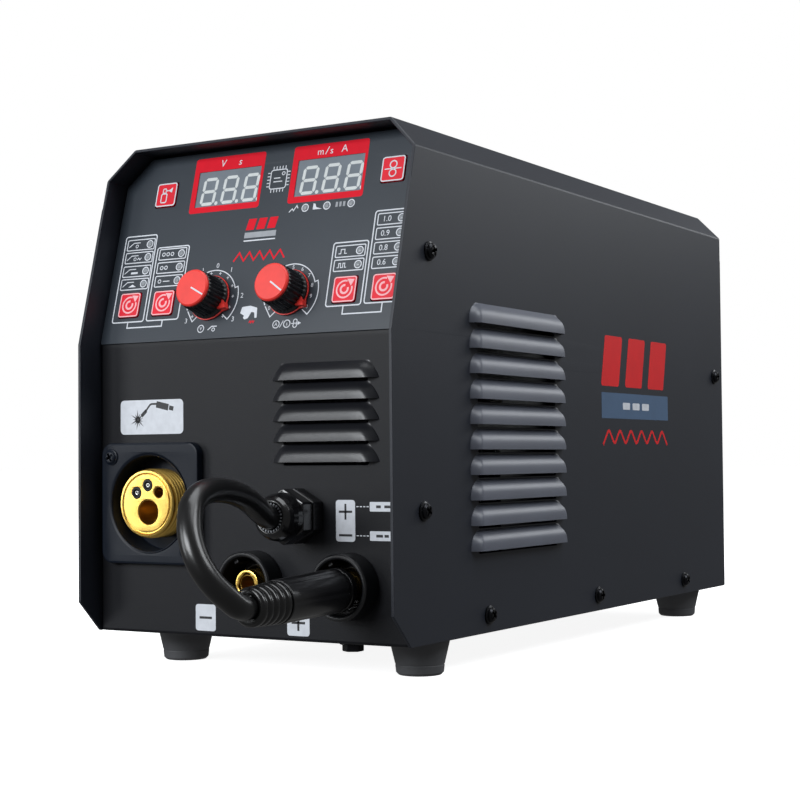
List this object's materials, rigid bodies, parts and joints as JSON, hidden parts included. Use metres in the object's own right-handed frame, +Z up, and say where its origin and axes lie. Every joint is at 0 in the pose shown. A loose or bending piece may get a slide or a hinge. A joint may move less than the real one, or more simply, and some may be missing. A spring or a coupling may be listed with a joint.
{
  "type": "inverter welder",
  "caption": "Portable inverter welder with a folded steel case, sloping control panel, torch and power sockets, polarity lead, wire bay door and louvred side.",
  "frame": {"origin": "on the floor under the middle of the machine, between its four feet", "axes": "+Z up, the control front faces -Y, +X is the side with the louvres"},
  "size_m": [0.1865, 0.5088, 0.251],
  "materials": {
    "powder_coat": "fine-texture charcoal powder coat",
    "overlay_film": "printed dark grey film",
    "black_plastic": "moulded black nylon, satin",
    "torch_plate_plastic": "moulded blue-black plastic",
    "red_key": "red silicone key with a pale printed border",
    "coral_cap": "coral red cap",
    "display_window": "grey display face with pale segments",
    "brass": "bright machined brass",
    "rubber": "black rubber",
    "black_steel": "blackened steel, glossy",
    "zinc_steel": "zinc plated steel",
    "aluminium": "cast and extruded aluminium",
    "circuit_board": "green solder mask",
    "copper_wire": "copper coated steel wire, wound",
    "ferrite": "dark ferrite core with taped winding",
    "nylon": "natural nylon",
    "red_rocker": "red translucent rocker"
  },
  "bodies": {
    "root": {"cover": "powder_coat", "base_pan": "powder_coat", "front_panel": "powder_coat", "rear_panel": "powder_coat", "divider": "zinc_steel", "door_hinge_pin": "zinc_steel", "foot_front_left": "rubber", "foot_front_right": "rubber", "foot_rear_left": "rubber", "foot_rear_right": "rubber", "side_screw_1": "black_steel", "side_screw_2": "black_steel", "side_screw_3": "black_steel", "side_screw_4": "black_steel", "side_screw_5": "black_steel", "side_screw_6": "black_steel", "control_overlay": "overlay_film", "control_board": "circuit_board", "volt_display": "display_window", "amp_display": "display_window", "torch_plate": "torch_plate_plastic", "torch_boss": "brass", "negative_socket": "black_plastic", "negative_insert": "brass", "positive_socket": "black_plastic", "positive_insert": "brass", "gland_body": "black_plastic", "gland_nut": "black_plastic", "polarity_lead": "rubber", "feed_motor": "aluminium", "spool_hub": "nylon", "power_board": "circuit_board", "heatsink": "aluminium", "transformer": "ferrite", "fan_frame": "black_plastic", "power_switch": "black_plastic", "mains_gland": "black_plastic", "gas_valve": "brass"},
    "door": {"side_door": "powder_coat"},
    "latch": {"door_latch": "black_plastic"},
    "gas_test_button": {"gas_test_button": "red_key"},
    "wire_inch_button": {"wire_inch_button": "red_key"},
    "process_button": {"process_button": "red_key"},
    "gas_choice_button": {"gas_choice_button": "red_key"},
    "trigger_mode_button": {"trigger_mode_button": "red_key"},
    "wire_size_button": {"wire_size_button": "red_key"},
    "voltage_dial": {"voltage_knob": "black_plastic", "voltage_knob_cap": "coral_cap"},
    "current_dial": {"current_knob": "black_plastic", "current_knob_cap": "coral_cap"},
    "rocker": {"power_rocker": "red_rocker"},
    "fan": {"fan_rotor": "black_plastic"},
    "spool": {"wire_reel": "black_plastic", "wire_coil": "copper_wire"},
    "feed_roll": {"drive_roll": "zinc_steel"},
    "arm": {"pressure_arm": "black_plastic"},
    "idle_roll": {"pressure_roll": "zinc_steel"},
    "tension_screw": {"tension_lever": "black_plastic"},
    "plug": {"plug_body": "black_plastic", "plug_boot": "rubber"}
  },
  "joints": [
    {"name": "door_hinge", "type": "hinge", "parent": "root", "child": "door", "pos_m": [-0.0908, 0.17445, 0.135], "axis": [0, 0, -1], "range_deg": [0, 115]},
    {"name": "latch_turn", "type": "hinge", "parent": "door", "child": "latch", "pos_m": [-0.088, -0.12775, 0.135], "axis": [1, 0, 0], "range_deg": [0, 90]},
    {"name": "gas_test_press", "type": "slide", "parent": "root", "child": "gas_test_button", "axis": [0, 0.9673, -0.2538], "range_m": [0, 0.0008], "stiffness_N_per_m": 700, "springref_m": -0.0006},
    {"name": "wire_inch_press", "type": "slide", "parent": "root", "child": "wire_inch_button", "axis": [0, 0.9673, -0.2538], "range_m": [0, 0.0008], "stiffness_N_per_m": 700, "springref_m": -0.0006},
    {"name": "process_press", "type": "slide", "parent": "root", "child": "process_button", "axis": [0, 0.9673, -0.2538], "range_m": [0, 0.0008], "stiffness_N_per_m": 700, "springref_m": -0.0006},
    {"name": "gas_choice_press", "type": "slide", "parent": "root", "child": "gas_choice_button", "axis": [0, 0.9673, -0.2538], "range_m": [0, 0.0008], "stiffness_N_per_m": 700, "springref_m": -0.0006},
    {"name": "trigger_mode_press", "type": "slide", "parent": "root", "child": "trigger_mode_button", "axis": [0, 0.9673, -0.2538], "range_m": [0, 0.0008], "stiffness_N_per_m": 700, "springref_m": -0.0006},
    {"name": "wire_size_press", "type": "slide", "parent": "root", "child": "wire_size_button", "axis": [0, 0.9673, -0.2538], "range_m": [0, 0.0008], "stiffness_N_per_m": 700, "springref_m": -0.0006},
    {"name": "voltage_turn", "type": "hinge", "parent": "root", "child": "voltage_dial", "pos_m": [-0.0224, -0.19276, 0.17646], "axis": [0, -0.9673, 0.2538], "range_deg": [-20, 250]},
    {"name": "current_turn", "type": "hinge", "parent": "root", "child": "current_dial", "pos_m": [0.0224, -0.19276, 0.17646], "axis": [0, -0.9673, 0.2538], "range_deg": [-15, 250]},
    {"name": "rocker_tip", "type": "hinge", "parent": "root", "child": "rocker", "pos_m": [-0.052, 0.19725, 0.209], "axis": [0, 0, 1], "range_deg": [0, 23]},
    {"name": "fan_spin", "type": "hinge", "parent": "root", "child": "fan", "pos_m": [0.033, 0.18325, 0.153], "axis": [0, 1, 0], "continuous": true},
    {"name": "spool_spin", "type": "hinge", "parent": "root", "child": "spool", "pos_m": [-0.051, 0.07825, 0.134], "axis": [1, 0, 0], "continuous": true},
    {"name": "feed_roll_spin", "type": "hinge", "parent": "root", "child": "feed_roll", "pos_m": [-0.0532, -0.12275, 0.062], "axis": [1, 0, 0], "continuous": true},
    {"name": "arm_lift", "type": "hinge", "parent": "root", "child": "arm", "pos_m": [-0.0532, -0.15075, 0.104], "axis": [1, 0, 0], "range_deg": [0, 70]},
    {"name": "idle_roll_spin", "type": "hinge", "parent": "arm", "child": "idle_roll", "pos_m": [-0.0532, -0.12275, 0.0905], "axis": [1, 0, 0], "continuous": true},
    {"name": "tension_swing", "type": "hinge", "parent": "root", "child": "tension_screw", "pos_m": [-0.0627, -0.09575, 0.067], "axis": [1, 0, 0], "range_deg": [0, 88]},
    {"name": "plug_twist", "type": "hinge", "parent": "root", "child": "plug", "pos_m": [0.0571, -0.17525, 0.0426], "axis": [0, -0.9994, -0.0349], "range_deg": [0, 60]}
  ],
  "couplings": [
    {"joint": "idle_roll_spin", "follows": "feed_roll_spin", "ratio": -1.3793}
  ]
}
